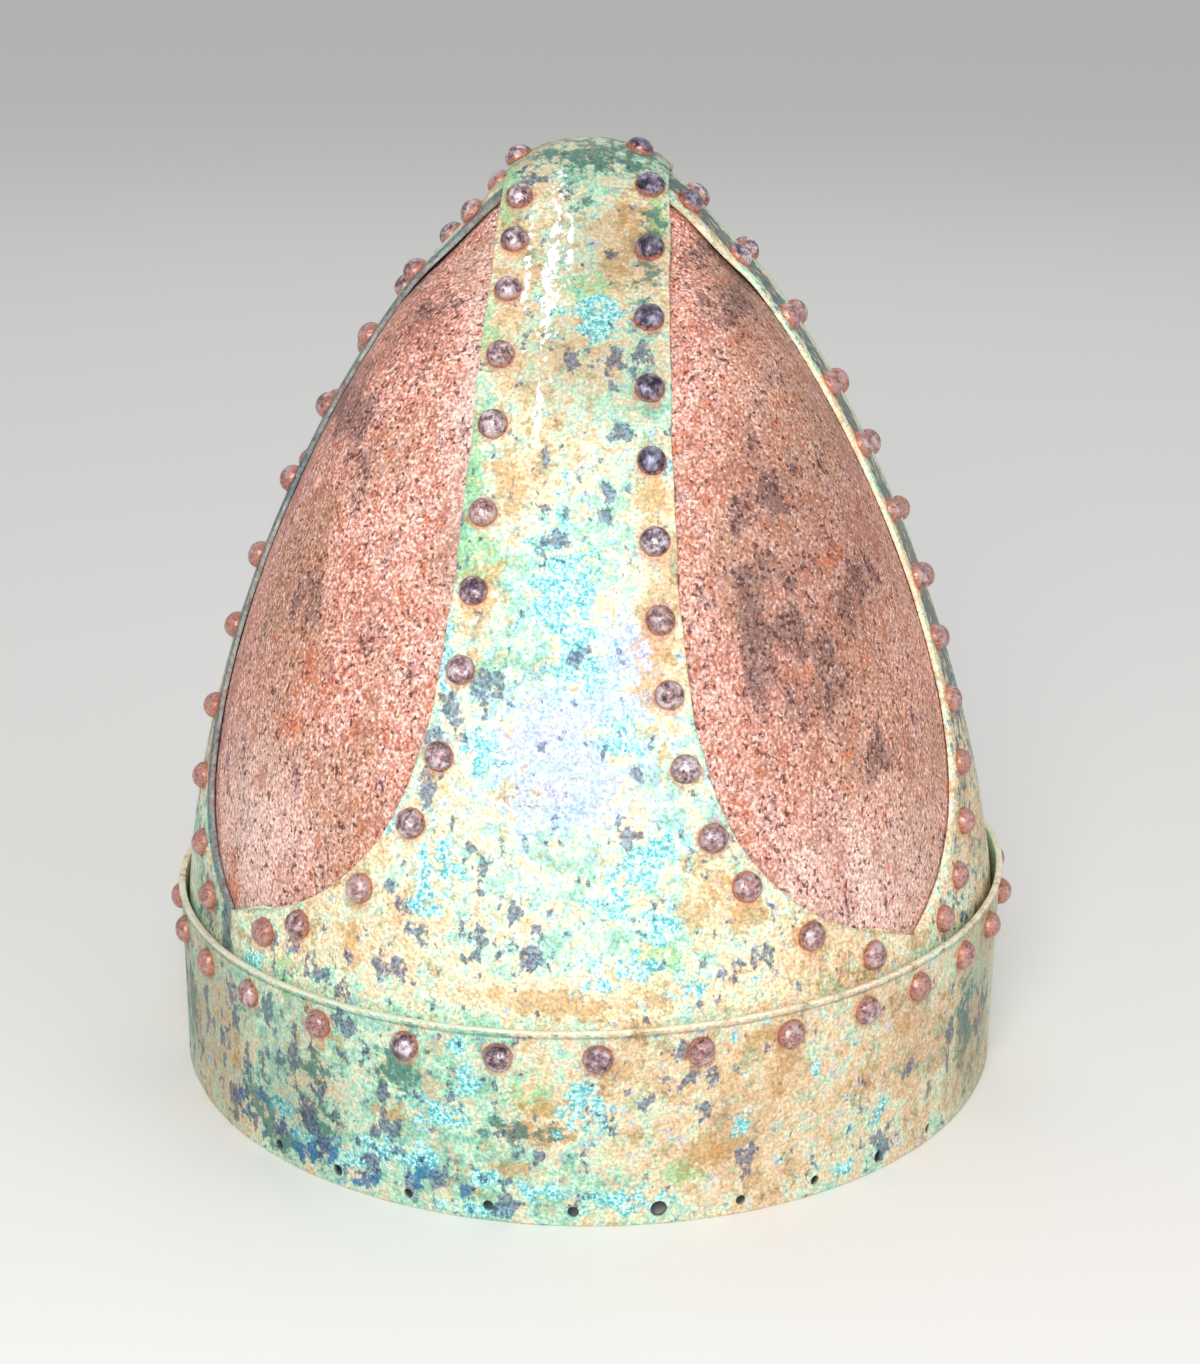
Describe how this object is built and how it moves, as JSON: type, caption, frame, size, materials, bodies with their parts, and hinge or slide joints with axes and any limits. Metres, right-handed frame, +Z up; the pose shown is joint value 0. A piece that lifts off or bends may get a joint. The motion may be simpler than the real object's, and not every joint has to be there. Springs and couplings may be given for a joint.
{
  "type": "medieval helmet",
  "caption": "Tall domed riveted helmet: bronze straps over leaf-shaped rusted iron plates, closed below by a bronze brow band with lacing holes.",
  "frame": {"origin": "centre of the rim on the floor", "axes": "+Z up through the crown, -Y towards the helmet's front, +X towards the wearer's left"},
  "size_m": [0.2058, 0.2277, 0.2195],
  "materials": {
    "bronze_patina": "sheet bronze under a mottled turquoise, mint and tan patina, faintly glossy",
    "rusted_iron": "forged iron plate, granular salmon-brown rust with dark pits, matt",
    "rivet_iron": "hammered iron heads, purple-brown with bright facets and rust at the foot"
  },
  "bodies": {
    "root": {"brow_band": "bronze_patina", "spangen_front_to_back": "bronze_patina", "spangen_left": "bronze_patina", "spangen_right": "bronze_patina", "plate_front_left": "rusted_iron", "plate_front_right": "rusted_iron", "plate_back_left": "rusted_iron", "plate_back_right": "rusted_iron", "brow_rivet_01": "rivet_iron", "brow_rivet_02": "rivet_iron", "brow_rivet_03": "rivet_iron", "brow_rivet_04": "rivet_iron", "brow_rivet_05": "rivet_iron", "brow_rivet_06": "rivet_iron", "brow_rivet_07": "rivet_iron", "brow_rivet_08": "rivet_iron", "brow_rivet_09": "rivet_iron", "brow_rivet_10": "rivet_iron", "brow_rivet_11": "rivet_iron", "brow_rivet_12": "rivet_iron", "brow_rivet_13": "rivet_iron", "brow_rivet_14": "rivet_iron", "brow_rivet_15": "rivet_iron", "brow_rivet_16": "rivet_iron", "brow_rivet_17": "rivet_iron", "brow_rivet_18": "rivet_iron", "brow_rivet_19": "rivet_iron", "brow_rivet_20": "rivet_iron", "brow_rivet_21": "rivet_iron", "brow_rivet_22": "rivet_iron", "brow_rivet_23": "rivet_iron", "brow_rivet_24": "rivet_iron", "brow_rivet_25": "rivet_iron", "brow_rivet_26": "rivet_iron", "brow_rivet_27": "rivet_iron", "brow_rivet_28": "rivet_iron", "brow_rivet_29": "rivet_iron", "brow_rivet_30": "rivet_iron", "brow_rivet_31": "rivet_iron"}
  },
  "joints": []
}
